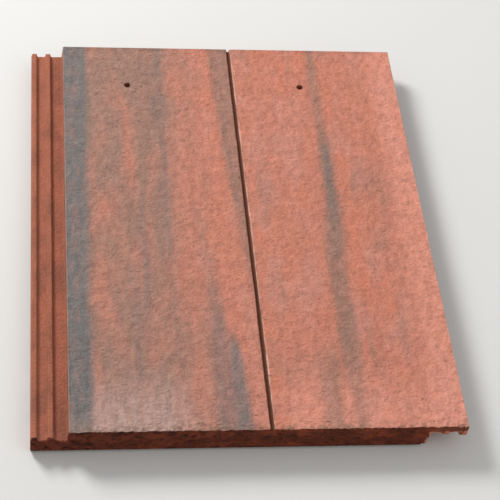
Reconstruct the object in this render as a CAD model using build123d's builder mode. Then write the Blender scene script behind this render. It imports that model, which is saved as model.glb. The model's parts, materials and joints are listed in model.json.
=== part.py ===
"""Flat interlocking roof tile whose mock joint makes it look like two plain tiles, in millimetres.

The tile lies face up on its tail nose and its nib tips. X runs across the slope, Y from the tail up
to the head, and Z out of the face. The origin is under the middle of the tile, on the resting plane.
"""

import os
from math import radians, tan

from build123d import *

# Format
length = 420.0  # tail to head
cover_width = 300.0  # joint to joint on the roof
shelf_width = 28.0  # the part on the left that lies under the neighbour's flange
joint_gap = 3.0  # open joint between the top faces of two neighbours
overall_depth = 26.0  # top face to the resting plane
slab_thickness = 13.0  # top face to the plain underside
lap_depth = 18.0  # top face to the underside of the shelf, side beams and long ribs

# Side lock: the shelf's two ribs stand in the grooves of the neighbour's flange
flange_thickness = 8.0
lock_rib_height = 3.5
lock_rib_foot = 5.5  # width of a shelf rib where it stands on the shelf
lock_rib_pitch = 12.0  # outer shelf rib to inner shelf rib
lock_clearance = 1.0  # between a shelf and the flange that lies over it, all round
lock_end_gap = 6.0  # between the end of a shelf and the foot of the neighbour's side beam
lock_side_angle = 76.0  # slope of the sides of lock ribs and tongues
shoulder_angle = 85.0  # slope of the body's left wall
beam_end_angle = 80.0  # slope of the body's right end, under the flange

# Mock joint down the middle of the face
groove_width = 3.2
groove_depth = 3.0
groove_side_angle = 72.0

# Side beams and long ribs under the slab
left_beam_width = 17.0  # under the body, beside the shelf
right_beam_width = 18.0
long_rib_width = 8.0
long_rib_count = 2
rib_side_angle = 60.0

# Tail nose and weather bars
nose_face_height = 22.5  # the tail's cut edge, which shows on the roof
nose_undercut = 4.0  # how far the resting strip is set back from the tail's edge
nose_length = 24.0  # tail's edge to the back of the resting strip
nose_back_angle = 58.0
weather_bar_width = 5.0
weather_bar_angle = 65.0
weather_bar_pitch = 22.0
weather_bar_count = 2
weather_bar_lift = 3.0  # how far the bars stay clear of the course below

# Hanging nibs and nail holes at the head
nib_width = 42.0
nib_tip_length = 13.0  # along the slope, at the tip
nib_head_angle = 64.0  # slope of the face towards the head
nib_setback = 4.0  # from the head to the nib's root
nib_corner_radius = 4.0
batten_width = 50.0
nail_hole_diameter = 6.0

# Mould radii
arris_radius = 0.9
root_radius = 1.2
notch_radius = 3.0  # where the body's right end meets the flange
flange_corner_radius = 2.0  # lower corner of the flange's free end
body_corner_radius = 3.0  # lower corner of the body's right end, on the tail's cut edge
nose_radius = 1.8
bar_root_radius = 2.0  # where the nose and the weather bars leave the slab
nib_root_radius = 2.0

# Heights above the resting plane
top_z = overall_depth
slab_z = top_z - slab_thickness
lap_z = top_z - lap_depth
flange_z = top_z - flange_thickness
shelf_rib_z = flange_z - lock_clearance
shelf_z = shelf_rib_z - lock_rib_height
tongue_z = shelf_z + lock_clearance
nose_face_z = top_z - nose_face_height

# Places across the slope
overall_width = cover_width - joint_gap + shelf_width
left_x = -overall_width / 2
right_x = overall_width / 2
shoulder_x = left_x + shelf_width  # left edge of the top face
shoulder_foot_x = shoulder_x - (top_z - shelf_z) / tan(radians(shoulder_angle))
groove_x = shoulder_x - joint_gap / 2 + cover_width / 2
body_end_x = left_x + cover_width - lock_end_gap  # body's right end, at the resting plane
body_corner_x = body_end_x + nose_face_z / tan(radians(beam_end_angle))
left_beam_x = shoulder_x + left_beam_width
right_beam_x = body_end_x - right_beam_width
outer_rib_x = left_x + lock_rib_foot / 2
inner_rib_x = outer_rib_x + lock_rib_pitch
middle_tongue_x = (outer_rib_x + inner_rib_x) / 2 + cover_width
middle_tongue_width = lock_rib_pitch - lock_rib_foot - 2 * lock_clearance
end_tongue_x = inner_rib_x + lock_rib_foot / 2 + lock_clearance + cover_width
bay_count = long_rib_count + 1
bay_width = (right_beam_x - left_beam_x) / bay_count
bay_middle_x = (left_beam_x + right_beam_x) / 2

# Places along the slope
tail_y = -length / 2
head_y = length / 2
nose_back_y = tail_y + nose_length
nose_root_y = nose_back_y + slab_z / tan(radians(nose_back_angle))
weather_bars_y = nose_root_y + weather_bar_pitch * weather_bar_count / 2
bars_end_y = weather_bars_y + weather_bar_pitch * weather_bar_count / 2
nib_back_y = head_y - nib_setback
nib_face_y = nib_back_y - nib_tip_length - slab_z / tan(radians(nib_head_angle))
nail_y = nib_face_y - batten_width / 2


def lean(height, angle):
    """How far a wall that leans at an angle runs sideways over a height."""
    return height / tan(radians(angle))


def rib(tip_width, height, angle, turned=0):
    """The section of a rib that stands on the line y = 0, or hangs from it when turned by 180."""
    foot = tip_width + 2 * lean(height, angle)
    return Trapezoid(foot, height, angle, rotation=turned, align=(Align.CENTER, Align.MIN))


def corners_at(sketch, height):
    """The corners of a section at one height, from left to right."""
    corners = sketch.vertices().filter_by_position(Axis.Y, height - 0.01, height + 0.01)
    return corners.sort_by(Axis.X)


tail_plane = Plane.XZ.offset(-tail_y)
left_plane = Plane.YZ.offset(left_x)

# One hanging nib, square to the batten in front and sloped behind, on a piece of the slab
with BuildPart() as nib:
    with BuildSketch(Plane.YZ):
        with BuildLine():
            Polyline(
                (nib_face_y, 0),
                (nib_face_y + nib_tip_length, 0),
                (nib_back_y, slab_z),
                (nib_face_y, slab_z),
                close=True,
            )
        make_face()
    extrude(amount=nib_width / 2, both=True)
    upright_edges = nib.edges().filter_by(Axis.X, reverse=True).filter_by(Axis.Y, reverse=True)
    fillet(upright_edges, nib_corner_radius)
    fillet(nib.faces().sort_by(Axis.Z)[0].edges(), arris_radius)
    with BuildSketch(Plane.XY.offset(slab_z)):
        with Locations((0, head_y)):
            Rectangle(
                nib_width + 4 * nib_root_radius,
                head_y - nib_face_y + 2 * nib_root_radius,
                align=(Align.CENTER, Align.MAX),
            )
    extrude(amount=slab_thickness / 2)
    slab_piece = nib.faces().filter_by(Axis.Z).sort_by(Axis.Z)[1]
    fillet(slab_piece.inner_wires()[0].edges(), nib_root_radius)

with BuildPart() as roof_tile:
    # Nose and weather bars, across the whole width, on a strip of the slab
    with BuildSketch(left_plane) as nose:
        with BuildLine():
            Polyline(
                (tail_y, slab_z + slab_thickness / 2),
                (tail_y, nose_face_z),
                (tail_y + nose_undercut, 0),
                (nose_back_y, 0),
                (nose_root_y, slab_z),
                (bars_end_y, slab_z),
                (bars_end_y, slab_z + slab_thickness / 2),
                close=True,
            )
        make_face()
        with Locations((weather_bars_y, slab_z)):
            with GridLocations(weather_bar_pitch, 0, weather_bar_count, 1):
                rib(weather_bar_width, slab_z - weather_bar_lift, weather_bar_angle, 180)
        # Rounded corners, one height after another from the roots down
        fillet(corners_at(nose, slab_z)[:-1], bar_root_radius)
        fillet(corners_at(nose, nose_face_z), nose_radius)
        fillet(corners_at(nose, weather_bar_lift), arris_radius)
        fillet(corners_at(nose, 0), arris_radius)
    extrude(amount=overall_width)

    # Room for the neighbour's flange above the shelf, and for its shelf under this flange
    with BuildSketch(tail_plane) as room:
        with BuildLine():
            Polyline(
                (left_x, top_z),
                (shoulder_foot_x, top_z),
                (shoulder_foot_x, shelf_z),
                (left_x, shelf_z),
                close=True,
            )
        make_face()
        with BuildLine():
            Polyline(
                (body_corner_x - body_corner_radius, 0),
                (body_corner_x - body_corner_radius, nose_face_z),
                (body_corner_x, nose_face_z),
                (body_end_x + lean(flange_z, beam_end_angle), flange_z),
                (right_x, flange_z),
                (right_x, 0),
                close=True,
            )
        make_face()
        fillet(corners_at(room, nose_face_z)[-1], body_corner_radius)
    extrude(amount=-length, mode=Mode.SUBTRACT)

    # The section that runs from tail to head
    with BuildSketch(tail_plane) as section:
        # Slab, with the shelf and the left beam under its left end
        with Locations((0, top_z)):
            Rectangle(overall_width, slab_thickness, align=(Align.CENTER, Align.MAX))
        with BuildLine():
            Polyline(
                (left_x, slab_z),
                (left_x, lap_z),
                (left_beam_x, lap_z),
                (left_beam_x + lean(slab_z - lap_z, rib_side_angle), slab_z),
                close=True,
            )
        make_face()
        # Right beam, and long ribs evenly between the beams
        with BuildLine():
            Polyline(
                (right_beam_x - lean(slab_z - lap_z, rib_side_angle), slab_z),
                (right_beam_x, lap_z),
                (body_end_x + lean(lap_z, beam_end_angle), lap_z),
                (body_end_x + lean(slab_z, beam_end_angle), slab_z),
                close=True,
            )
        make_face()
        with Locations((bay_middle_x, slab_z)):
            with GridLocations(bay_width, 0, long_rib_count, 1):
                rib(long_rib_width, slab_z - lap_z, rib_side_angle, 180)
        # Rebate above the shelf, and the two ribs in it
        with BuildLine():
            Polyline(
                (left_x, top_z),
                (shoulder_x, top_z),
                (shoulder_foot_x, shelf_z),
                (left_x, shelf_z),
                close=True,
            )
        make_face(mode=Mode.SUBTRACT)
        lock_rib_tip = lock_rib_foot - 2 * lean(lock_rib_height, lock_side_angle)
        with Locations((outer_rib_x, shelf_z), (inner_rib_x, shelf_z)):
            rib(lock_rib_tip, lock_rib_height, lock_side_angle)
        # Rebate under the flange, and the two tongues in it
        with BuildLine():
            Polyline(
                (body_end_x + lean(lap_z, beam_end_angle), lap_z),
                (body_end_x + lean(flange_z, beam_end_angle), flange_z),
                (right_x, flange_z),
                (right_x, lap_z),
                close=True,
            )
        make_face(mode=Mode.SUBTRACT)
        with Locations((middle_tongue_x, flange_z)):
            rib(middle_tongue_width, flange_z - tongue_z, lock_side_angle, 180)
        with BuildLine():
            Polyline(
                (end_tongue_x, tongue_z),
                (end_tongue_x - lean(flange_z - tongue_z, lock_side_angle), flange_z),
                (right_x, flange_z),
                (right_x, tongue_z),
                close=True,
            )
        make_face()
        # Mock joint
        with Locations((groove_x, top_z)):
            Trapezoid(
                groove_width,
                groove_depth,
                groove_side_angle,
                rotation=180,
                align=(Align.CENTER, Align.MIN),
                mode=Mode.SUBTRACT,
            )
        # Rounded corners, one height after another from the face down
        fillet(corners_at(section, top_z), arris_radius)
        fillet(corners_at(section, flange_z)[0], notch_radius)
        fillet(corners_at(section, flange_z)[1:], root_radius)
        fillet(corners_at(section, tongue_z)[-1], flange_corner_radius)
        fillet(corners_at(section, tongue_z)[:-1], arris_radius)
        fillet(corners_at(section, shelf_rib_z), arris_radius)
        fillet(corners_at(section, shelf_z)[1:], root_radius)
        fillet(corners_at(section, lap_z), root_radius)
        bay_corners = corners_at(section, slab_z)
        fillet(bay_corners.filter_by_position(Axis.X, left_beam_x, right_beam_x), root_radius)
    extrude(amount=-length)

    # Hanging nibs, one in the middle of each bay
    with Locations((bay_middle_x, 0, 0)):
        with GridLocations(bay_width, 0, bay_count, 1):
            add(nib.part)

    # Nail holes in the outer bays, over the middle of the batten
    with Locations((bay_middle_x, nail_y, top_z)):
        with GridLocations((bay_count - 1) * bay_width, 0, 2, 1):
            Hole(radius=nail_hole_diameter / 2)

os.makedirs("parts", exist_ok=True)
roof_tile.part.label = "roof_tile"
export_step(roof_tile.part, "parts/roof_tile.step")
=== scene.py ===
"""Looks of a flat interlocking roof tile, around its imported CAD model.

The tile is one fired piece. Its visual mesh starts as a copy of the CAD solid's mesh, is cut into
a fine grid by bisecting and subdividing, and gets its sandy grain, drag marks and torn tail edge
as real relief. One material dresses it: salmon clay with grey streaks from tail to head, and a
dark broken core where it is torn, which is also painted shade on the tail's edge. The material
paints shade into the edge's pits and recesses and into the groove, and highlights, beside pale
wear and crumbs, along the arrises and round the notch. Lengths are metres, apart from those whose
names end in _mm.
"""

import json
import logging
import math
from dataclasses import dataclass, field
from enum import Enum
from itertools import product
from typing import Callable

import bmesh
import bpy
from mathutils import Matrix, Vector


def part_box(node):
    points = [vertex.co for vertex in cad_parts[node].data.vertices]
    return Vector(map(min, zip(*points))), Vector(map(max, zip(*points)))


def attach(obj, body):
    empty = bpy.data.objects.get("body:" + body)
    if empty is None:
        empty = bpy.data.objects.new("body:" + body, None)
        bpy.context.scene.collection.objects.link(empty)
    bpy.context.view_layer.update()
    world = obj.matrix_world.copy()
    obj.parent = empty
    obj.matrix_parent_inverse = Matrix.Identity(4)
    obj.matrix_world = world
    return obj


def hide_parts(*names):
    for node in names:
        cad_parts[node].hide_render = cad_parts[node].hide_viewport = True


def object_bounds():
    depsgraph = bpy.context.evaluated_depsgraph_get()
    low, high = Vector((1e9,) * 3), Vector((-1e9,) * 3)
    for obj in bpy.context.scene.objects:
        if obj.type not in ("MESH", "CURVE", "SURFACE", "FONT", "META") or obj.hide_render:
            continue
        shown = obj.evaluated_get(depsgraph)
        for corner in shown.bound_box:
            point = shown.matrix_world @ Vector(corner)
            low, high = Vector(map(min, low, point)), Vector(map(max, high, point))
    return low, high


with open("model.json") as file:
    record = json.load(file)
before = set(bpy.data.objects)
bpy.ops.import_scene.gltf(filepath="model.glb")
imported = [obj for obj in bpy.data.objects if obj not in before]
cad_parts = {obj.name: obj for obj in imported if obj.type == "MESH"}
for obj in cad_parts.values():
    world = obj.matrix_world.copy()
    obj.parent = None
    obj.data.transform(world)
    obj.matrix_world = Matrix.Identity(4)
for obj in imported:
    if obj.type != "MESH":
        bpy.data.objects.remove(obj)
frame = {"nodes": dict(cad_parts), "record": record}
cad_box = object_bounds()

log = logging.getLogger("roof_tile")

MM = 0.001
NODE = "roof_tile"
BODY = "root"

# Within this, two places in the mesh count as one
CLOSE = 0.1 * MM
# Where the photograph was taken from, on the tile's own axes
VIEWPOINT = Vector((-0.1576, -0.874, 0.9699))

Socket = bpy.types.NodeSocket
Rgb = tuple[int, int, int]
Rgba = tuple[float, float, float, float]
Triple = tuple[float, float, float]
Span = tuple[float, float]


class Zone(Enum):
    """The parts of the tile's surface that are worn in their own way."""

    FACE = "face"
    FACE_RIM = "face_rim"
    TAIL = "tail"
    TAIL_RIM = "tail_rim"


class Way(Enum):
    """The direction in which a relief moves the surface, as Blender's axis and its sign."""

    DOWN = ("Z", -1.0)
    UP_SLOPE = ("Y", 1.0)


@dataclass(frozen=True)
class Clay:
    """Colours of the fired clay, as red, green and blue from 0 to 255 on a screen."""

    salmon: Rgb = (207, 134, 112)
    pink: Rgb = (207, 142, 125)
    orange: Rgb = (216, 130, 102)
    brown_pink: Rgb = (166, 128, 113)
    pale_edge: Rgb = (235, 159, 138)
    # Pale worn arrises, with a painted highlight on them too
    arris: Rgb = (232, 186, 170)
    bloom: Rgb = (195, 161, 150)
    blue_grey: Rgb = (112, 113, 113)
    warm_grey: Rgb = (126, 120, 117)
    soft_grey: Rgb = (142, 120, 108)
    smudge: Rgb = (138, 112, 92)
    # The broken core's own darker clay, darkened further to paint the shade on the tail's edge
    core: Rgb = (98, 44, 27)
    core_red: Rgb = (132, 62, 38)
    core_brown: Rgb = (134, 74, 50)
    # Pale crumbled clay, also a painted highlight on the notch's rounded edges
    crumb_and_highlight: Rgb = (206, 132, 104)
    pinhole: Rgb = (86, 52, 42)
    # Painted shade, laid in the pits and recesses of the tail's edge
    pit_shade: Rgb = (30, 14, 10)
    # The groove's plainer clay, darkened to paint the shade inside it
    groove: Rgb = (118, 72, 52)
    moulded: Rgb = (176, 108, 84)
    moulded_dark: Rgb = (150, 94, 75)


@dataclass(frozen=True)
class Streak:
    """One streak on the face, in millimetres from the left joint and from the tail.

    Its middle and its width are given at the tail and at the top of the exposed face, and
    change evenly from one to the other. A width under 0 ends the streak in a point.
    """

    name: str
    middle_mm: Span
    width_mm: Span
    run_mm: Span
    strength: float
    tone: Rgb
    soft_mm: float = 2.5
    fade_mm: float = 20.0


def screen_colour(rgb: Rgb) -> Rgba:
    """Turns a screen colour into the linear one that a shader takes.

    Args:
        rgb: red, green and blue from 0 to 255.

    Returns:
        The linear colour with an alpha of 1.
    """
    linear = []
    for channel in rgb:
        share = channel / 255
        linear.append(share / 12.92 if share <= 0.04045 else ((share + 0.055) / 1.055) ** 2.4)
    return (*linear, 1.0)


def add_object(name: str, data: bpy.types.ID | None) -> bpy.types.Object:
    """Adds an object to the scene.

    Args:
        name: what it is called.
        data: its mesh, lamp or camera, or None for an empty.

    Returns:
        The object, at the origin.
    """
    made = bpy.data.objects.new(name, data)
    bpy.context.scene.collection.objects.link(made)
    return made


@dataclass(frozen=True)
class Relief:
    """A procedural relief that is pressed into one zone of the tile.

    The pattern's darkest value leaves the surface where it is, and its brightest moves it
    into the tile by depth_mm.
    """

    name: str
    zone: Zone
    way: Way
    size_mm: float
    depth_mm: float
    detail: int = 2
    stretch: Triple = (1.0, 1.0, 1.0)
    low: float = 0.2
    high: float = 0.8
    origin: Triple = (0.0, 0.0, 0.0)

    def press(self, piece: bpy.types.Object) -> None:
        """Adds the relief to a piece as a Displace modifier and applies it.

        Args:
            piece: the active object, in object mode, with a vertex group for the zone.
        """
        pattern = bpy.data.textures.new(self.name, type="CLOUDS")
        pattern.noise_scale = self.size_mm * MM
        pattern.noise_depth = self.detail
        pattern.use_color_ramp = True
        for stop, place, grey in zip(pattern.color_ramp.elements, (self.low, self.high), (0.0, 1.0)):
            stop.position = place
            stop.color = (grey, grey, grey, 1.0)

        probe = add_object(self.name + "_probe", None)
        probe.location = self.origin
        probe.scale = self.stretch
        bpy.context.view_layer.update()

        push = piece.modifiers.new(self.name, type="DISPLACE")
        push.texture = pattern
        push.texture_coords = "OBJECT"
        push.texture_coords_object = probe
        push.direction, sign = self.way.value
        push.vertex_group = self.zone.value
        push.mid_level = 0.0
        push.strength = sign * self.depth_mm * MM
        bpy.ops.object.modifier_apply(modifier=push.name)
        bpy.data.objects.remove(probe)


@dataclass
class TileSizes:
    """Places on the tile, read from the CAD box and a few sizes of its section."""

    low: Vector
    high: Vector
    nail_holes: list[Vector]
    nail_hole_radius: float
    shelf_width: float = 28.0 * MM
    joint_gap: float = 3.0 * MM
    cover_width: float = 300.0 * MM
    lock_end_gap: float = 6.0 * MM
    groove_depth: float = 3.0 * MM
    groove_reach: float = 2.25 * MM
    body_wall_angle: float = math.radians(80.0)

    @property
    def tail(self) -> float:
        """The Y of the tail's cut edge."""
        return self.low.y

    @property
    def top(self) -> float:
        """The Z of the weathered face."""
        return self.high.z

    @property
    def groove_floor(self) -> float:
        """A Z just under the floor of the groove."""
        return self.high.z - self.groove_depth - CLOSE

    @property
    def shoulder(self) -> float:
        """The X of the face's left edge."""
        return self.low.x + self.shelf_width

    @property
    def left_joint(self) -> float:
        """The X of the middle of the side joint, left of the face."""
        return self.shoulder - self.joint_gap / 2

    @property
    def groove_left(self) -> float:
        """The X where the groove's left side meets the flat face."""
        return self.left_joint + self.cover_width / 2 - self.groove_reach

    @property
    def groove_right(self) -> float:
        """The X where the groove's right side meets the flat face."""
        return self.left_joint + self.cover_width / 2 + self.groove_reach

    @property
    def nail_row(self) -> float:
        """The Y of the nail holes."""
        return self.nail_holes[0].y

    @property
    def body_wall_mm(self) -> tuple[float, float, float, float]:
        """The sloping line of the body's right end, seen from the tail.

        Returns:
            Its place across the tile at the face and at the foot, and the depth of both.
        """
        depth = (self.high.z - self.low.z) / MM
        foot = (self.low.x + self.cover_width - self.lock_end_gap - self.left_joint) / MM
        return foot + depth / math.tan(self.body_wall_angle), foot, 0.0, depth


@dataclass
class RoofTile:
    """The whole tile: its mesh, its relief and its finish.

    The flat face is cut into blocks, and each block into as many cells each way as cells says.
    The last rows above the tail, as far as tail_reach, have cells half as wide.
    """

    sizes: TileSizes
    cells: int = 8
    blocks_beside_groove: int = 13
    rows_to_nails: int = 30
    weld: float = 1e-6
    merge_angle: float = math.radians(0.05)
    level: float = 0.9999
    arris_round: float = 0.9 * MM
    beside_shoulder: float = 0.3 * MM
    beside_nail_hole: float = 1.0 * MM
    tail_reach: float = 6.0 * MM
    seam: float = 1.2 * MM
    arris_depth: float = 1.4 * MM
    arris_reach: float = 0.5 * MM
    tail_skin: float = 0.3 * MM
    rim_on_face: float = 3.2 * MM
    rim_on_tail: float = 3.6 * MM
    smooth_angle: float = math.radians(40.0)
    piece: bpy.types.Object = field(init=False)

    @property
    def flat_face(self) -> Span:
        """The X of both ends of the flat face, between its rounded arrises."""
        return self.sizes.shoulder + self.arris_round, self.sizes.high.x - self.arris_round

    @property
    def block_width(self) -> float:
        """The width of a block."""
        return (self.flat_face[1] - self.sizes.groove_right) / self.blocks_beside_groove

    @property
    def seam_line(self) -> float:
        """The Y where the tail's finest rows end."""
        return self.grid_start - self.seam

    @property
    def grid_start(self) -> float:
        """The Y where the blocks start, a narrow seam past the tail's finest rows."""
        return self.sizes.tail + self.tail_reach + self.seam

    @property
    def block_length(self) -> float:
        """The length of a block, which puts a line of the grid on the nail holes."""
        return (self.sizes.nail_row - self.grid_start) / self.rows_to_nails

    def build(self) -> bpy.types.Object:
        """Makes the finished mesh.

        Returns:
            The tile's object, at the origin, in object mode.
        """
        self.copy_solid()
        self.cut_grid()
        self.mark_zones()
        for relief in self.reliefs():
            relief.press(self.piece)
        bpy.ops.object.shade_smooth_by_angle(angle=self.smooth_angle)
        return self.piece

    def copy_solid(self) -> None:
        """Copies the CAD mesh without its stored normals, and merges its triangles into faces."""
        mesh = frame["nodes"][NODE].data.copy()
        mesh.materials.clear()
        self.piece = add_object("fired_tile", mesh)
        bpy.ops.object.select_all(action="DESELECT")
        bpy.context.view_layer.objects.active = self.piece
        self.piece.select_set(True)
        bpy.ops.mesh.customdata_custom_splitnormals_clear()
        bpy.ops.object.mode_set(mode="EDIT")
        bpy.ops.mesh.select_all(action="SELECT")
        bpy.ops.mesh.remove_doubles(threshold=self.weld)
        bpy.ops.mesh.dissolve_limited(angle_limit=self.merge_angle)
        bpy.ops.object.mode_set(mode="OBJECT")

    def cut_grid(self) -> None:
        """Cuts the face and the tail's edge into a fine grid, fit for relief."""
        bpy.ops.object.mode_set(mode="EDIT")
        self.cut_blocks()
        self.cut_tail()
        self.cut_cells()
        bpy.ops.mesh.reveal()
        bpy.ops.object.mode_set(mode="OBJECT")

    def cut_blocks(self) -> None:
        """Cuts the face into its blocks, and dissolves the seams between their lines."""
        columns = self.across(*self.flat_face, self.block_width)
        lines = self.steps(self.grid_start, self.sizes.tail, self.sizes.high.y, self.block_length)
        rows = [self.seam_line, *lines]
        self.work_on(self.on_top)
        self.bisect("X", columns)
        self.bisect("Y", rows)
        self.clear_between(columns, rows)

    def cut_tail(self) -> None:
        """Cuts the last rows of the face and the tail's edge into the finest cells."""
        sizes, pitch = self.sizes, self.block_width / self.cells / 2
        self.work_on(lambda face: self.near_tail(face) and self.on_top(face))
        self.bisect("Y", self.steps(sizes.tail, sizes.tail, self.seam_line, pitch))
        self.work_on(lambda face: self.near_tail(face) and (self.on_top(face) or self.faces_tail(face)))
        self.bisect("X", self.across(sizes.low.x, sizes.high.x, pitch))
        self.work_on(lambda face: self.near_tail(face) and self.faces_tail(face))
        self.bisect("Z", self.steps(0.0, 0.0, sizes.top, pitch))

    def cut_cells(self) -> None:
        """Subdivides the blocks with four corners, and bisects those with more."""
        self.work_on(lambda face: self.on_block(face) and len(face.verts) == 4)
        bpy.ops.mesh.select_all(action="SELECT")
        bpy.ops.mesh.subdivide(number_cuts=self.cells - 1)
        self.work_on(lambda face: self.on_block(face) and len(face.verts) > 4)
        columns = self.across(*self.flat_face, self.block_width / self.cells)
        self.bisect("X", self.in_view("x", columns))
        pitch = self.block_length / self.cells
        rows = self.steps(self.grid_start, self.grid_start, self.sizes.high.y, pitch)
        self.bisect("Y", self.in_view("y", rows))

    def across(self, low: float, high: float, pitch: float) -> list[float]:
        """Evenly spaced places across the tile from low to high, counted from the groove both ways."""
        left, right = self.sizes.groove_left, self.sizes.groove_right
        return [*self.steps(left, low, left, pitch), *self.steps(right, left, high, pitch)]

    def clear_between(self, columns: list[float], rows: list[float]) -> None:
        """Dissolves the flat face's seams that are off the grid's lines and reach no nail hole.

        Args:
            columns: the X of each line from tail to head.
            rows: the Y of each line across.
        """
        bpy.ops.mesh.select_mode(type="EDGE")
        bpy.ops.mesh.select_all(action="DESELECT")
        mesh = bmesh.from_edit_mesh(self.piece.data)
        for edge in mesh.edges:
            flat = all(self.is_flat(face) for face in edge.link_faces)
            on_grid = self.on_line(edge, "x", columns) or self.on_line(edge, "y", rows)
            if flat and not on_grid and not any(self.by_nail_hole(end.co) for end in edge.verts):
                edge.select_set(True)
        bmesh.update_edit_mesh(self.piece.data)
        bpy.ops.mesh.dissolve_edges(use_verts=True)

    def by_nail_hole(self, place: Vector) -> bool:
        """Whether a point is on the rim of a nail hole, or close beside it."""
        reach = self.sizes.nail_hole_radius + self.beside_nail_hole
        return any((place.xy - middle).length < reach for middle in self.sizes.nail_holes)

    @staticmethod
    def on_line(edge: bmesh.types.BMEdge, axis: str, places: list[float]) -> bool:
        """Whether both ends of an edge are close to one of the places on an axis, x or y."""
        one, other = (getattr(end.co, axis) for end in edge.verts)
        return any(max(abs(one - place), abs(other - place)) < CLOSE for place in places)

    def near_tail(self, face: bmesh.types.BMFace) -> bool:
        """Whether a face of the mesh is in the tail's finest rows."""
        return face.calc_center_median().y < self.sizes.tail + self.tail_reach

    def on_top(self, face: bmesh.types.BMFace) -> bool:
        """Whether a face of the mesh is on the weathered face or in its groove."""
        middle = face.calc_center_median()
        return middle.x > self.sizes.shoulder - self.beside_shoulder and middle.z > self.sizes.groove_floor

    def is_flat(self, face: bmesh.types.BMFace) -> bool:
        """Whether a face of the mesh is a level part of the weathered face."""
        return face.normal.z > self.level and self.on_top(face)

    @staticmethod
    def faces_tail(face: bmesh.types.BMFace) -> bool:
        """Whether a face of the mesh is turned to the tail."""
        return face.normal.y < -0.5

    def on_block(self, face: bmesh.types.BMFace) -> bool:
        """Whether a face of the mesh is a block of the weathered face, past the finest rows."""
        return face.calc_center_median().y > self.grid_start and self.is_flat(face)

    @staticmethod
    def steps(origin: float, low: float, high: float, pitch: float) -> list[float]:
        """Evenly spaced cuts along one axis.

        Args:
            origin: a place that one of the cuts would have.
            low: all places are above this one.
            high: all places are below this one.
            pitch: from one place to the next.

        Returns:
            The places, in order.
        """
        spare = pitch / 20
        first = math.ceil((low + spare - origin) / pitch)
        last = math.floor((high - spare - origin) / pitch)
        return [origin + index * pitch for index in range(first, last + 1)]

    def in_view(self, axis: str, places: list[float]) -> list[float]:
        """Those of some places that lie inside a face that shows in edit mode.

        Args:
            axis: x or y.
            places: the places on that axis.

        Returns:
            The places that are kept, in order.
        """
        spans = []
        for face in bmesh.from_edit_mesh(self.piece.data).faces:
            if not face.hide:
                reach = [getattr(corner.co, axis) for corner in face.verts]
                spans.append((min(reach) + CLOSE, max(reach) - CLOSE))
        return [place for place in places if any(low < place < high for low, high in spans)]

    @staticmethod
    def bisect(axis: str, places: list[float]) -> None:
        """Cuts all faces that show in edit mode by planes square to an axis.

        Args:
            axis: X, Y or Z.
            places: where each plane crosses that axis.
        """
        normal = Vector([float(axis == name) for name in "XYZ"])
        for place in places:
            bpy.ops.mesh.select_all(action="SELECT")
            bpy.ops.mesh.bisect(plane_co=normal * place, plane_no=normal)

    def work_on(self, wanted: Callable[[bmesh.types.BMFace], bool]) -> None:
        """Shows only some of the faces in edit mode, so that cuts leave the others alone.

        Args:
            wanted: the test of a face.
        """
        bpy.ops.mesh.select_mode(type="FACE")
        bpy.ops.mesh.reveal()
        bpy.ops.mesh.select_all(action="DESELECT")
        mesh = bmesh.from_edit_mesh(self.piece.data)
        for face in mesh.faces:
            face.select_set(wanted(face))
        bmesh.update_edit_mesh(self.piece.data)
        bpy.ops.mesh.hide(unselected=True)

    def mark_zones(self) -> None:
        """Gives each vertex its weight in the zones that reliefs are pressed into."""
        groups = {zone: self.piece.vertex_groups.new(name=zone.value) for zone in Zone}
        for vertex in self.piece.data.vertices:
            for zone, weight in self.weights(vertex.co).items():
                if weight > 0.0:
                    groups[zone].add([vertex.index], weight, "REPLACE")

    def weights(self, place: Vector) -> dict[Zone, float]:
        """How far a point belongs to each zone.

        Args:
            place: the point.

        Returns:
            A weight from 0 to 1 for each zone.
        """
        from_tail = place.y - self.sizes.tail
        from_head = self.sizes.high.y - place.y
        under_face = self.sizes.top - place.z
        on_face = under_face < self.arris_depth and place.x > self.sizes.shoulder - self.arris_reach
        on_tail = from_tail < self.tail_skin
        near_top = max(0.0, 1.0 - under_face / self.arris_depth) if on_face else 0.0
        return {
            Zone.FACE: near_top * min(1.0, from_head / self.rim_on_face),
            Zone.FACE_RIM: near_top * max(0.0, 1.0 - from_tail / self.rim_on_face),
            Zone.TAIL: float(on_tail),
            Zone.TAIL_RIM: max(0.0, 1.0 - under_face / self.rim_on_tail) if on_tail else 0.0,
        }

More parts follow.
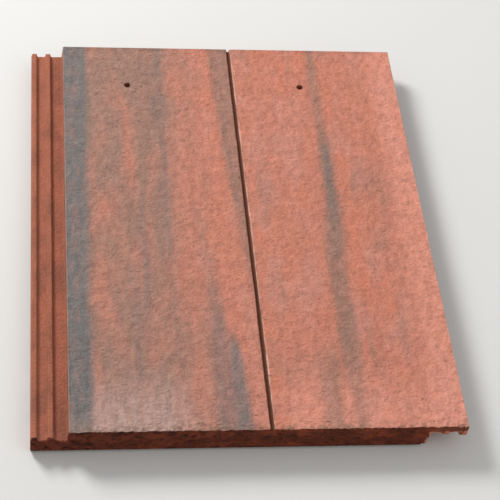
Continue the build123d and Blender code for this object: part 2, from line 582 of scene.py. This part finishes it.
    @staticmethod
    def reliefs() -> list[Relief]:
        """Lists the reliefs in the order in which they are pressed.

        Returns:
            The reliefs: those of the face, those of the cut edge, then the torn arris between them.
        """
        face, tail = (Zone.FACE, Way.DOWN), (Zone.TAIL, Way.UP_SLOPE)
        face_rim, tail_rim = (Zone.FACE_RIM, Way.DOWN), (Zone.TAIL_RIM, Way.UP_SLOPE)
        flat, crumbly = (2.0, 1.0, 1.0), (1.3, 1.0, 1.0)
        return [
            Relief("waves", *face, 28.0, 0.30, stretch=(1.0, 2.5, 1.0)),
            Relief("drag_marks", *face, 3.2, 0.12, stretch=(1.0, 12.0, 1.0)),
            Relief("orange_peel", *face, 5.0, 0.50, 1, low=0.33, high=0.67, origin=(0.3, 0.1, 0.0)),
            Relief("grit", *face, 2.8, 0.48, 1, low=0.33, high=0.67, origin=(0.1, 0.7, 0.0)),
            Relief("hollows", *tail, 8.0, 0.6, stretch=flat, origin=(0.2, 0.0, 0.4)),
            Relief("pits", *tail, 2.6, 1.1, stretch=flat, low=0.45, high=0.75),
            Relief("tears_down", *face_rim, 3.0, 0.8, 1, crumbly, 0.50, 0.70, (0.4, 0.2, 0.0)),
            Relief("tears_back", *tail_rim, 3.0, 1.0, 1, crumbly, 0.50, 0.70, (0.4, 0.2, 0.0)),
            Relief("crumbs_down", *face_rim, 1.8, 0.35, 1, crumbly, 0.4, 0.7, (0.0, 0.5, 0.3)),
            Relief("crumbs_back", *tail_rim, 1.8, 0.8, 1, crumbly, 0.4, 0.7, (0.0, 0.5, 0.3)),
        ]

    def dress(self, finish: "FiredClay") -> None:
        """Gives the tile its finish and ties it to the frame.

        Args:
            finish: the clay that it is made of.
        """
        self.piece.data.materials.append(finish.material(self.sizes))
        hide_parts(NODE)
        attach(self.piece, BODY)


class Graph:
    """A small sheet of shader nodes, built from the sockets of earlier ones."""

    def __init__(self, tree: bpy.types.NodeTree) -> None:
        """Empties the node tree that the nodes go in."""
        self.tree = tree
        self.tree.nodes.clear()

    def node(self, kind: str, **settings: object) -> bpy.types.Node:
        """Adds a node.

        Args:
            kind: Blender's name for the node, without ShaderNode.
            settings: properties to set on it.

        Returns:
            The node.
        """
        made = self.tree.nodes.new("ShaderNode" + kind)
        for name, value in settings.items():
            setattr(made, name, value)
        return made

    def feed(self, target: Socket, value: object) -> None:
        """Links a socket to an input, or sets the input's own value.

        Args:
            target: the input.
            value: a socket, a number or a colour.
        """
        if isinstance(value, Socket):
            self.tree.links.new(value, target)
        else:
            target.default_value = value

    def math(self, operation: str, *values: object) -> Socket:
        """A Math node.

        Args:
            operation: its operation, such as ADD.
            values: its one to three inputs.

        Returns:
            The result.
        """
        made = self.node("Math", operation=operation)
        for target, value in zip(made.inputs, values):
            self.feed(target, value)
        return made.outputs[0]

    def fade(self, value: Socket, low: float, high: float) -> Socket:
        """A value that goes from 0 at low to 1 at high with soft ends, and stays between them.

        Args:
            value: what is looked at.
            low: where the result is 0.
            high: where the result is 1, which may be under low.

        Returns:
            The result.
        """
        made = self.node("MapRange", interpolation_type="SMOOTHSTEP")
        self.feed(made.inputs["Value"], value)
        self.feed(made.inputs["From Min"], low)
        self.feed(made.inputs["From Max"], high)
        return made.outputs["Result"]

    def band(self, value: Socket, low: float, high: float, soft: float) -> Socket:
        """A result of 1 where the value is between low and high, which fades to 0 over soft past them."""
        return self.both(self.fade(value, low - soft, low), self.fade(value, high + soft, high))

    def line(self, value: Socket, at_low: float, at_high: float, low: float, high: float) -> Socket:
        """A value on the straight line through two points, past them too.

        Args:
            value: what is looked at.
            at_low: the result where value is low.
            at_high: the result where value is high.
            low: one place.
            high: the other place.

        Returns:
            The result.
        """
        made = self.node("MapRange", clamp=False)
        self.feed(made.inputs["Value"], value)
        for name, number in (("From Min", low), ("From Max", high), ("To Min", at_low), ("To Max", at_high)):
            made.inputs[name].default_value = number
        return made.outputs["Result"]

    def stretch(self, vector: Socket, scale: Triple) -> Socket:
        """A vector with each part multiplied by its own number.

        Args:
            vector: the vector.
            scale: the three numbers.

        Returns:
            The result.
        """
        made = self.node("VectorMath", operation="MULTIPLY")
        self.feed(made.inputs[0], vector)
        made.inputs[1].default_value = scale
        return made.outputs[0]

    def noise(self, vector: Socket, size_mm: float, detail: float = 2.0, rough: float = 0.5) -> Socket:
        """Noise with features of about one size.

        Args:
            vector: place, in millimetres.
            size_mm: size of the features.
            detail: how many finer layers it has.
            rough: how strong the finer layers are.

        Returns:
            Its value, which stays near 0.5.
        """
        made = self.node("TexNoise")
        self.feed(made.inputs["Vector"], vector)
        made.inputs["Scale"].default_value = 1.0 / size_mm
        made.inputs["Detail"].default_value = detail
        made.inputs["Roughness"].default_value = rough
        return made.outputs["Fac"]

    def both(self, one: object, other: object) -> Socket:
        """The product of two shares."""
        return self.math("MULTIPLY", one, other)

    def lay(self, below: object, above: Rgb, cover: Socket, strength: object) -> Socket:
        """Lays a screen colour over the one below it, by its cover times its strength, from 0 to 1."""
        return self.mix(self.both(cover, strength), below, screen_colour(above))

    def mix(self, share: Socket, below: object, above: object) -> Socket:
        """Mixes two colours.

        Args:
            share: how much of the second one shows, from 0 to 1.
            below: the first colour.
            above: the second colour.

        Returns:
            The colour.
        """
        made = self.node("Mix", data_type="RGBA", clamp_factor=True)
        lower, upper = [socket for socket in made.inputs if socket.type == "RGBA"]
        self.feed(made.inputs["Factor"], share)
        self.feed(lower, below)
        self.feed(upper, above)
        return next(socket for socket in made.outputs if socket.type == "RGBA")


@dataclass(frozen=True)
class FiredClay:
    """The tile's finish: streaked, sandy clay with a dark broken core, painted shade and highlights.

    Places across are millimetres from the left joint, and places up the slope from the tail. The
    span of the groove's highlight holds its two ends, and the others where a fade is 0 and 1.
    """

    clay: Clay = Clay()
    roughness: float = 0.92
    shine: float = 0.25
    exposed_mm: float = 343.0
    past_tail_mm: float = -60.0
    past_head_mm: float = 480.0
    groove_mm: float = 150.0
    groove_walls_mm: Span = (2.0, 1.7)
    groove_floor_mm: Span = (4.5, 3.6)
    groove_highlight_mm: Span = (151.6, 152.5)
    left_arris_mm: Span = (2.7, 2.0)
    right_arris_mm: Span = (297.3, 298.2)
    grain_contrast: float = 0.59
    sand_height: float = 0.8 * MM

    def streaks(self) -> list[Streak]:
        """Lists the streaks on the face.

        Returns:
            The streaks, each laid over those before it.
        """
        grey, soft, band = self.clay.blue_grey, self.clay.soft_grey, self.clay.warm_grey
        red, pink, orange = self.clay.salmon, self.clay.pink, self.clay.orange
        dull, bloom = self.clay.brown_pink, self.clay.bloom
        tail, head = self.past_tail_mm, self.past_head_mm
        return [
            Streak("red_30", (30, 30), (12, 12), (115, 175), 0.50, red, 6, 25),
            Streak("red_57", (57, 57), (7, 7), (225, 300), 0.60, red, 4, 25),
            Streak("red_98", (97, 98), (18, 19), (95, 300), 0.55, red, 5, 30),
            Streak("red_100", (99, 99), (14, 14), (12, 80), 0.60, red, 5, 25),
            Streak("left_band", (7, 8), (22, 27), (tail, head), 0.96, band, 4.5),
            Streak("left_core", (16, 15.5), (10, 7), (28, 112), 0.55, grey, 4),
            Streak("left_dust", (8, 8), (20, 20), (tail, 12), 0.22, bloom, 4, 14),
            Streak("patch_52", (52, 52), (12, 12), (190, 255), 0.45, soft, 6, 25),
            Streak("line_56", (56, 56), (4, 4), (45, 115), 0.40, grey, 4, 20),
            Streak("line_64", (62, 66), (6, 3), (115, 215), 0.50, grey, 3, 40),
            Streak("line_84", (82, 85), (3, 6), (140, head), 0.26, grey, 3, 35),
            Streak("grey_76", (76, 76), (16, 18), (295, head), 0.42, soft, 8, 40),
            Streak("band_117", (117, 117), (14, 5), (tail, 140), 0.60, band, 5, 45),
            Streak("band_130", (131, 117), (15, -8), (tail, 88), 0.80, band, 4, 14),
            Streak("pink_144", (144, 144), (12, 10), (tail, 150), 0.55, pink, 4, 35),
            Streak("by_groove", (152, 142), (-3.5, 17), (135, head), 0.62, soft, 4, 45),
            Streak("line_171", (171, 172), (3, 3), (118, 155), 0.40, soft, 3, 15),
            Streak("split_200", (199, 200), (15, 9), (tail, 68), 0.50, soft, 5, 22),
            Streak("line_205", (205, 205), (4, 4), (48, 78), 0.45, soft, 3, 14),
            Streak("streak_218", (218, 218.5), (15, 15), (48, 196), 0.64, soft, 4, 28),
            Streak("split_219", (219, 219), (10, 10), (tail, 40), 0.40, soft, 4, 18),
            Streak("streak_224", (220, 225), (22, 8), (180, 308), 0.78, soft, 5, 20),
            Streak("core_224", (220, 225.5), (14, 4), (215, 302), 0.42, grey, 3.5, 18),
            Streak("above_224", (224, 224), (9, 9), (300, head), 0.55, soft, 4, 20),
            Streak("warm_237", (237.5, 237.5), (9, 9), (110, 300), 0.42, orange, 4, 25),
            Streak("line_235", (235, 235), (3.5, 3.5), (60, 104), 0.48, soft, 3, 15),
            Streak("dull_258", (258, 258), (28, 28), (236, 268), 0.45, dull, 9, 22),
        ]

    def material(self, sizes: TileSizes) -> bpy.types.Material:
        """Makes the material.

        Args:
            sizes: places on the tile that the pattern follows.

        Returns:
            The material.
        """
        made = bpy.data.materials.new("fired_clay")
        made.use_nodes = True
        graph = Graph(made.node_tree)
        spot = Spot(graph, sizes)
        face = self.grains(spot, self.edges(spot, self.streaked(spot, self.body(spot))))
        colour = self.broken_core_and_shade(spot, graph.mix(spot.under_face, face, self.moulded(spot)))
        shader = graph.node("BsdfPrincipled")
        graph.feed(shader.inputs["Base Color"], colour)
        shader.inputs["Roughness"].default_value = self.roughness
        shader.inputs["Specular IOR Level"].default_value = self.shine
        graph.feed(shader.inputs["Normal"], self.sand(spot))
        output = graph.node("OutputMaterial")
        graph.feed(output.inputs["Surface"], shader.outputs["BSDF"])
        return made

    def body(self, spot: "Spot") -> Socket:
        """The face without its streaks: salmon clay, browner on the left, dusty at the tail.

        Args:
            spot: the point.

        Returns:
            The colour.
        """
        graph, clay = spot.graph, self.clay
        warm = graph.noise(spot.lengthwise(0.45), 26.0, 3.0)
        cool = graph.noise(spot.lengthwise(0.40, 40.0), 20.0, 3.0)
        colour = screen_colour(clay.salmon)
        colour = graph.lay(colour, clay.orange, graph.fade(warm, 0.50, 0.68), 0.50)
        colour = graph.lay(colour, clay.pink, graph.fade(cool, 0.46, 0.66), 0.75)

        patches = graph.noise(spot.lengthwise(0.25, 90.0), 15.0, 3.0, 0.55)
        brownness = graph.line(patches, 0.50, 1.06, 0.36, 0.6)
        left_half = graph.both(graph.fade(spot.across, 9.0, 18.0), graph.fade(spot.across, 128.0, 84.0))
        colour = graph.lay(colour, clay.brown_pink, left_half, brownness)
        colour = graph.lay(colour, clay.brown_pink, graph.fade(patches, 0.56, 0.72), 0.35)
        colour = graph.lay(colour, clay.pale_edge, graph.fade(spot.across, 266.0, 284.0), 0.60)

        low = graph.fade(spot.up_slope, 68.0, 8.0)
        dust = graph.both(graph.fade(spot.across, 10.0, 20.0), graph.fade(spot.across, 120.0, 66.0))
        fibres = graph.noise(spot.lengthwise(0.08), 2.4)
        streaky = graph.line(fibres, 0.57, 0.93, 0.35, 0.65)
        colour = graph.lay(colour, clay.bloom, graph.both(low, dust), streaky)
        right_half = graph.fade(spot.across, 150.0, 172.0)
        return graph.lay(colour, clay.pale_edge, graph.both(low, right_half), 0.55)

    def streaked(self, spot: "Spot", colour: Socket) -> Socket:
        """Lays the streaks over a colour, each frayed and broken up by noise.

        Args:
            spot: the point.
            colour: the colour under them.

        Returns:
            The colour.
        """
        graph = spot.graph
        thin = graph.line(spot.fray, 0.85, 1.12, 0.32, 0.68)
        for streak in self.streaks():
            cover = self.streak_cover(spot, streak)
            colour = graph.lay(colour, streak.tone, cover, graph.both(thin, streak.strength))
            colour.node.label = streak.name
        return colour

    def streak_cover(self, spot: "Spot", streak: Streak) -> Socket:
        """Where one streak lies.

        Args:
            spot: the point.
            streak: the streak.

        Returns:
            1 on the streak and 0 away from it.
        """
        graph = spot.graph
        tail_half, head_half = (width / 2 for width in streak.width_mm)
        start, end = streak.run_mm
        middle = graph.line(spot.up_slope, *streak.middle_mm, 0.0, self.exposed_mm)
        half = graph.line(spot.up_slope, tail_half, head_half, 0.0, self.exposed_mm)
        aside = graph.math("ABSOLUTE", graph.math("SUBTRACT", spot.across, middle))
        cover = graph.fade(graph.math("SUBTRACT", aside, half), streak.soft_mm, -streak.soft_mm)
        begun = graph.fade(spot.up_slope, start - streak.fade_mm, start + streak.fade_mm)
        ended = graph.fade(spot.up_slope, end + streak.fade_mm, end - streak.fade_mm)
        return graph.both(cover, graph.both(begun, ended))

    def edges(self, spot: "Spot", colour: Socket) -> Socket:
        """Paints the groove's shade and arris highlights, pales the arrises by wear, smudges above the tail.

        Args:
            spot: the point.
            colour: the face's colour.

        Returns:
            The colour.
        """
        graph, clay = spot.graph, self.clay
        # Painted shade: the groove's walls go dark below the face
        groove_wall_shade = graph.both(self.in_groove(spot), graph.fade(spot.depth, 0.3, 0.8))
        colour = graph.lay(colour, clay.groove, groove_wall_shade, 1.0)
        highlight = graph.band(spot.exact_across, *self.groove_highlight_mm, 0.3)
        right_arris = graph.fade(spot.exact_across, *self.right_arris_mm)
        left_arris = graph.fade(spot.exact_across, *self.left_arris_mm)
        # Pale wear and a painted highlight along the groove's right arris and the face's long arrises
        rubbed_and_highlight = graph.line(spot.fray, 0.2, 0.8, 0.35, 0.65)
        colour = graph.lay(colour, clay.arris, graph.math("MAXIMUM", highlight, right_arris), rubbed_and_highlight)
        colour = graph.lay(colour, clay.arris, left_arris, graph.both(rubbed_and_highlight, 0.2))
        blots = graph.fade(graph.noise(spot.lengthwise(1.0, 15.0), 5.0), 0.42, 0.60)
        low = graph.fade(spot.up_slope, 7.5, 1.5)
        return graph.lay(colour, clay.smudge, graph.both(low, blots), 0.6)

    def grains(self, spot: "Spot", colour: Socket, strength: float = 1.0) -> Socket:
        """Breaks a colour up into lighter and darker grains.

        Args:
            spot: the point.
            colour: the colour to break up.
            strength: how far the grains differ.

        Returns:
            The colour.
        """
        graph = spot.graph
        fine = graph.noise(spot.place, 2.1, 2.0, 0.55)
        coarse = graph.noise(spot.lengthwise(0.6, 7.0), 6.5)
        contrast = self.grain_contrast * strength
        light = graph.line(graph.math("ADD", fine, coarse), 1.0 - contrast, 1.0 + contrast, 0.0, 2.0)
        made = graph.node("VectorMath", operation="SCALE")
        graph.feed(made.inputs["Vector"], colour)
        graph.feed(made.inputs["Scale"], light)
        pinholes = graph.fade(graph.noise(spot.lengthwise(1.0, 60.0), 2.6, 1.0), 0.72, 0.80)
        return graph.lay(made.outputs["Vector"], self.clay.pinhole, pinholes, 0.6)

    def in_groove(self, spot: "Spot") -> Socket:
        """Where a point is between the groove's arrises and no lower than its floor.

        Args:
            spot: the point.

        Returns:
            1 in the groove and 0 away from it.
        """
        graph = spot.graph
        aside = graph.math("ABSOLUTE", graph.math("SUBTRACT", spot.exact_across, self.groove_mm))
        between = graph.fade(aside, *self.groove_walls_mm)
        return graph.both(between, graph.fade(spot.depth, *self.groove_floor_mm))

    def moulded(self, spot: "Spot") -> Socket:
        """The plain through-colour of all that was pressed in the mould, and the groove with painted shade.

        Args:
            spot: the point.

        Returns:
            The colour.
        """
        graph, clay = spot.graph, self.clay
        patches = graph.fade(graph.noise(spot.lengthwise(0.5), 16.0, 3.0), 0.40, 0.65)
        colour = graph.lay(screen_colour(clay.moulded), clay.moulded_dark, patches, 0.8)
        # Painted shade in the groove, over the moulded clay
        colour = graph.lay(colour, clay.groove, self.in_groove(spot), 1.0)
        return self.grains(spot, colour, 0.5)

    def core(self, spot: "Spot") -> Socket:
        """The tail's edge: dark core and painted shade, also in its pits, redder rightward, pale at the
        notch.

        Args:
            spot: the point.

        Returns:
            The colour.
        """
        graph, clay = spot.graph, self.clay
        pits = graph.noise(graph.stretch(spot.place, (0.6, 1.0, 1.0)), 4.2, 3.0, 0.6)
        red_patches = graph.noise(graph.stretch(spot.place, (0.35, 1.0, 1.0)), 9.0)
        rightward = graph.fade(spot.across, 20.0, 220.0)
        redness = graph.line(rightward, 0.5, 1.0, 0.0, 1.0)
        pit_shade_strength = graph.line(rightward, 0.85, 0.40, 0.0, 1.0)
        colour = screen_colour(clay.core)
        colour = graph.lay(colour, clay.core_red, graph.fade(red_patches, 0.40, 0.64), redness)
        # Painted shade in pits, stronger to the left
        colour = graph.lay(colour, clay.pit_shade, graph.fade(pits, 0.47, 0.68), pit_shade_strength)
        flange = graph.fade(graph.math("SUBTRACT", spot.exact_across, spot.body_wall), 0.5, 3.5)
        colour = graph.lay(colour, clay.core_brown, flange, 0.7)
        colour = self.grains(spot, colour, 1.3)
        # Pale crumbs and a painted highlight round the notch
        colour = graph.lay(colour, clay.crumb_and_highlight, self.notch_rim_and_highlight(spot), graph.fade(spot.fray, 0.38, 0.56))
        # Painted shade in the edge's recesses: surfaces facing along the slope more than about 1 mm behind
        # the tail
        recess_shade = graph.both(spot.turned, graph.fade(spot.up_slope, 0.7, 2.2))
        return graph.lay(colour, clay.pit_shade, recess_shade, 0.85)

    def broken_core_and_shade(self, spot: "Spot", colour: Socket) -> Socket:
        """Shows the dark core and its painted shade on the tail's edge and where the arris above it is torn.

        On the surfaces that run from tail to head, only a frayed rim beside the cut is core.

        Args:
            spot: the point.
            colour: the colour of the whole surface.

        Returns:
            The colour.
        """
        graph = spot.graph
        # Surfaces turned to the tail take the core colour, which also paints their shade
        facing_tail_shade = graph.fade(graph.math("MULTIPLY", spot.normal_y, -1.0), 0.45, 0.75)
        rim = graph.fade(graph.math("MULTIPLY_ADD", spot.fray, 3.0, spot.up_slope), 4.2, 3.2)
        near = graph.both(graph.fade(spot.up_slope, 6.0, 4.5), graph.math("MAXIMUM", spot.turned, rim))
        torn = graph.both(graph.math("MAXIMUM", spot.under_face, facing_tail_shade), near)
        return graph.mix(torn, colour, self.core(spot))

    def notch_rim_and_highlight(self, spot: "Spot") -> Socket:
        """Crumbled pale cut edge with a painted highlight: down the body's end and along the flange's
        underside.

        Args:
            spot: the point.

        Returns:
            1 on the pale rim and 0 away from it.
        """
        graph = spot.graph
        past_wall = graph.math("SUBTRACT", spot.exact_across, spot.body_wall)
        wall = graph.both(graph.fade(past_wall, -1.7, -0.9), graph.fade(spot.depth, 6.0, 8.0))
        under = graph.both(graph.fade(past_wall, -0.5, 0.5), graph.band(spot.depth, 7.1, 8.1, 0.3))
        return graph.math("MAXIMUM", wall, under)

    def sand(self, spot: "Spot") -> Socket:
        """The finest sand as bump, under the size that the mesh carries.

        Args:
            spot: the point.

        Returns:
            The bumped normal.
        """
        graph = spot.graph
        fine = graph.noise(spot.place, 1.0, 3.0, 0.6)
        height = graph.math("MULTIPLY_ADD", graph.noise(spot.place, 2.4), 1.4, fine)
        bump = graph.node("Bump")
        bump.inputs["Distance"].default_value = self.sand_height
        graph.feed(bump.inputs["Height"], height)
        return bump.outputs["Normal"]


class Spot:
    """The point that is shaded, in millimetres, and where it is on the tile.

    Both exact_across and across start at the left joint, and noise sways the second one. up_slope
    starts at the tail, and depth at the face. under_face is 1 below the weathered face, and turned
    is 1 where the surface doesn't run straight from tail to head.
    """

    def __init__(self, graph: Graph, sizes: TileSizes) -> None:
        """Adds the nodes that the finish reads its places from.

        Args:
            graph: the sheet of nodes.
            sizes: places on the tile.
        """
        self.graph = graph
        self.place = graph.stretch(graph.node("TexCoord").outputs["Object"], (1 / MM, 1 / MM, 1 / MM))
        parts = graph.node("SeparateXYZ")
        graph.feed(parts.inputs[0], self.place)
        normal = graph.node("SeparateXYZ")
        graph.feed(normal.inputs[0], graph.node("NewGeometry").outputs["Normal"])
        self.normal_y = normal.outputs["Y"]
        self.turned = graph.fade(graph.math("ABSOLUTE", self.normal_y), 0.05, 0.15)
        self.exact_across = graph.math("SUBTRACT", parts.outputs["X"], sizes.left_joint / MM)
        self.up_slope = graph.math("SUBTRACT", parts.outputs["Y"], sizes.tail / MM)
        self.depth = graph.math("SUBTRACT", sizes.top / MM, parts.outputs["Z"])
        self.body_wall = graph.line(self.depth, *sizes.body_wall_mm)
        self.under_face = graph.fade(self.depth, 1.3, 2.2)
        self.fray = graph.noise(self.lengthwise(0.25), 4.0, 3.0)
        self.across = self.exact_across
        for noise, reach_mm in (
            (graph.noise(self.lengthwise(0.35, 25.0), 34.0), 6.0),
            (self.fray, 3.5),
            (graph.noise(self.place, 1.9, 1.0), 6.0),
        ):
            sway = graph.math("SUBTRACT", noise, 0.5)
            self.across = graph.math("MULTIPLY_ADD", sway, reach_mm, self.across)

    def lengthwise(self, share: float, shift_mm: float = 0.0) -> Socket:
        """The place for a pattern that is stretched from tail to head.

        Args:
            share: one part over how many it is stretched, so 0.5 doubles its length.
            shift_mm: how far the pattern is moved, to give another one.

        Returns:
            The place.
        """
        made = self.graph.node("VectorMath", operation="MULTIPLY_ADD")
        self.graph.feed(made.inputs[0], self.place)
        made.inputs[1].default_value = (1.0, share, 1.0)
        made.inputs[2].default_value = (shift_mm, shift_mm, 0.0)
        return made.outputs[0]


@dataclass(frozen=True)
class Lamp:
    """A soft square lamp that faces the tile, with its side in metres and its power in watts."""

    name: str
    place: Triple
    side: float
    power: float

    def hang(self) -> None:
        """Adds the lamp to the scene."""
        data = bpy.data.lights.new(self.name, type="AREA")
        data.size = self.side
        data.energy = self.power
        lamp = add_object(self.name, data)
        lamp.location = self.place
        lamp.rotation_euler = (-Vector(self.place)).to_track_quat("-Z", "Y").to_euler()


@dataclass
class Studio:
    """The floor, the light and the camera around the tile."""

    viewpoint: Vector
    fill: float = 0.88
    aim_rounds: int = 6
    sensor_width: float = 36.0
    sky_strength: float = 0.42
    floor_size: float = 12.0
    floor_roughness: float = 0.95
    floor_colour: Rgb = (232, 231, 228)
    lamps: tuple[Lamp, ...] = (
        Lamp("key", (-1.3, 1.5, 1.5), 0.8, 52.0),
        Lamp("fill", (1.2, -1.2, 1.6), 1.6, 7.0),
    )

    def set_up(self, low: Vector, high: Vector) -> None:
        """Builds the whole studio.

        Args:
            low: the lowest corner of the box that the camera is aimed at.
            high: its highest corner.
        """
        self.lay_floor()
        self.light_sky()
        for lamp in self.lamps:
            lamp.hang()
        self.aim_camera([Vector(corner) for corner in product(*zip(low, high))])
        bpy.context.scene.view_settings.view_transform = "Standard"

    def lay_floor(self) -> None:
        """A plain pale floor that the tile lies on."""
        bpy.ops.mesh.primitive_plane_add(size=self.floor_size)
        floor = bpy.context.active_object
        floor.name = "floor"
        made = bpy.data.materials.new("floor_paint")
        made.use_nodes = True
        shader = made.node_tree.nodes["Principled BSDF"]
        shader.inputs["Base Color"].default_value = screen_colour(self.floor_colour)
        shader.inputs["Roughness"].default_value = self.floor_roughness
        shader.inputs["Specular IOR Level"].default_value = 0.0
        floor.data.materials.append(made)

    def light_sky(self) -> None:
        """An even sky that looks white to the camera and lights the tile softly."""
        world = bpy.data.worlds.new("sky")
        world.use_nodes = True
        bpy.context.scene.world = world
        graph = Graph(world.node_tree)
        paths = graph.node("LightPath")
        seen = graph.math("MAXIMUM", paths.outputs["Is Camera Ray"], paths.outputs["Is Glossy Ray"])
        seen = graph.math("MAXIMUM", seen, paths.outputs["Is Transmission Ray"])
        sky = graph.node("Background")
        sky.inputs["Color"].default_value = (1.0, 1.0, 1.0, 1.0)
        graph.feed(sky.inputs["Strength"], graph.line(seen, self.sky_strength, 1.0, 0.0, 1.0))
        output = graph.node("OutputWorld")
        graph.feed(output.inputs["Surface"], sky.outputs[0])

    def aim_camera(self, corners: list[Vector]) -> None:
        """Puts the camera at the photograph's viewpoint and fits the tile in its frame.

        The picture's right is the tile's own, so that the tail's edge stays level.

        Args:
            corners: the corners of the box to fit.
        """
        aim = sum(corners, Vector()) / len(corners)
        for _ in range(self.aim_rounds):
            ahead = (aim - self.viewpoint).normalized()
            right = (Vector((1.0, 0.0, 0.0)) - ahead * ahead.x).normalized()
            up = right.cross(ahead)
            seen = [corner - self.viewpoint for corner in corners]
            across = [point.dot(right) / point.dot(ahead) for point in seen]
            upward = [point.dot(up) / point.dot(ahead) for point in seen]
            distance = (aim - self.viewpoint).length
            aim = aim + right * (max(across) + min(across)) / 2 * distance
            aim = aim + up * (max(upward) + min(upward)) / 2 * distance
        widest = max(max(across) - min(across), max(upward) - min(upward))
        data = bpy.data.cameras.new("camera")
        data.sensor_width = self.sensor_width
        data.lens = self.sensor_width * self.fill / widest
        camera = add_object("camera", data)
        turn = Matrix((right, up, -ahead)).transposed()
        camera.matrix_world = Matrix.Translation(self.viewpoint) @ turn.to_4x4()
        bpy.context.scene.camera = camera


def read_sizes() -> TileSizes:
    """Reads the tile's box and its nail holes from the frame.

    Returns:
        The places on the tile.
    """
    mount = next(entry for entry in frame["record"]["mounts"] if entry["name"] == "nail_holes")
    middle, spacing = Vector(mount["pos_m"]).xy, mount["dims"]["spacing_x_mm"] * MM
    holes = [middle + Vector((side * spacing / 2, 0.0)) for side in (-1.0, 1.0)]
    return TileSizes(*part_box(NODE), nail_holes=holes, nail_hole_radius=mount["dims"]["hole_r_mm"] * MM)


def main() -> None:
    """Builds and dresses the tile, then the studio around it."""
    logging.basicConfig(level=logging.INFO, format="%(name)s: %(message)s")
    tile = RoofTile(read_sizes())
    piece = tile.build()
    log.info("%s has %d faces", piece.name, len(piece.data.polygons))
    tile.dress(FiredClay())
    Studio(VIEWPOINT).set_up(*cad_box)
    log.info("studio is ready")


if __name__ == "__main__":
    main()
